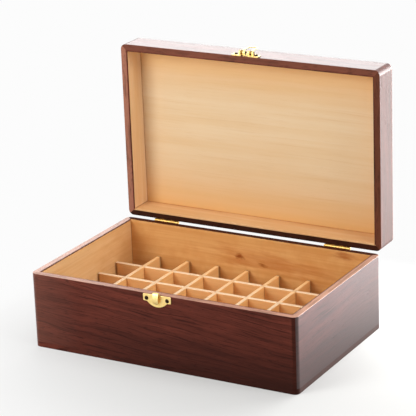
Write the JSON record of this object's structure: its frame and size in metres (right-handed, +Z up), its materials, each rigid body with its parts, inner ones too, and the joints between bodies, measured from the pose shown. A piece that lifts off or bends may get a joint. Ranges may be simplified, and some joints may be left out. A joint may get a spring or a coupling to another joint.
{
  "type": "essential oil box",
  "caption": "Low rectangular wooden box with a hinged lid standing open, a half-lapped grid of bottle cells inside, butt hinges behind and a hook-and-hasp catch in front.",
  "frame": {"origin": "middle of the underside of the base, on the table", "axes": "+X along the front to the right, +Y from front to back, +Z up"},
  "size_m": [0.26, 0.1989, 0.2399],
  "materials": {
    "mahogany_stained_wood": "red-brown stain under gloss lacquer outside, bare inside",
    "light_wood": "bare, sanded",
    "brass": "polished, lacquered",
    "bronzed_steel": "dark bronzed"
  },
  "bodies": {
    "base": {"base_wall_front": "mahogany_stained_wood", "base_wall_back": "mahogany_stained_wood", "base_wall_left": "mahogany_stained_wood", "base_wall_right": "mahogany_stained_wood", "base_bottom_board": "mahogany_stained_wood", "divider_long_1": "light_wood", "divider_long_2": "light_wood", "divider_long_3": "light_wood", "divider_long_4": "light_wood", "divider_short_1": "light_wood", "divider_short_2": "light_wood", "divider_short_3": "light_wood", "divider_short_4": "light_wood", "divider_short_5": "light_wood", "divider_short_6": "light_wood", "divider_short_7": "light_wood", "hinge_left_base_leaf": "brass", "hinge_left_pin": "brass", "hinge_right_base_leaf": "brass", "hinge_right_pin": "brass", "hinge_screws_base": "brass", "catch_strike_plate": "brass", "catch_screws_base": "bronzed_steel"},
    "lid": {"lid_wall_front": "mahogany_stained_wood", "lid_wall_back": "mahogany_stained_wood", "lid_wall_left": "mahogany_stained_wood", "lid_wall_right": "mahogany_stained_wood", "lid_top_board": "mahogany_stained_wood", "hinge_left_lid_leaf": "brass", "hinge_right_lid_leaf": "brass", "hinge_screws_lid": "brass", "catch_lid_plate": "brass", "catch_screws_lid": "bronzed_steel", "catch_hasp_pin": "brass"},
    "hasp": {"catch_hasp": "brass"}
  },
  "joints": [
    {"name": "lid_hinge", "type": "hinge", "parent": "base", "child": "lid", "pos_m": [0, 0.0841, 0.069], "axis": [1, 0, 0], "range_deg": [0, 90]},
    {"name": "hasp_swing", "type": "hinge", "parent": "lid", "child": "hasp", "pos_m": [-0.0015, 0.0891, 0.2382], "axis": [1, 0, 0], "range_deg": [0, 180]}
  ]
}
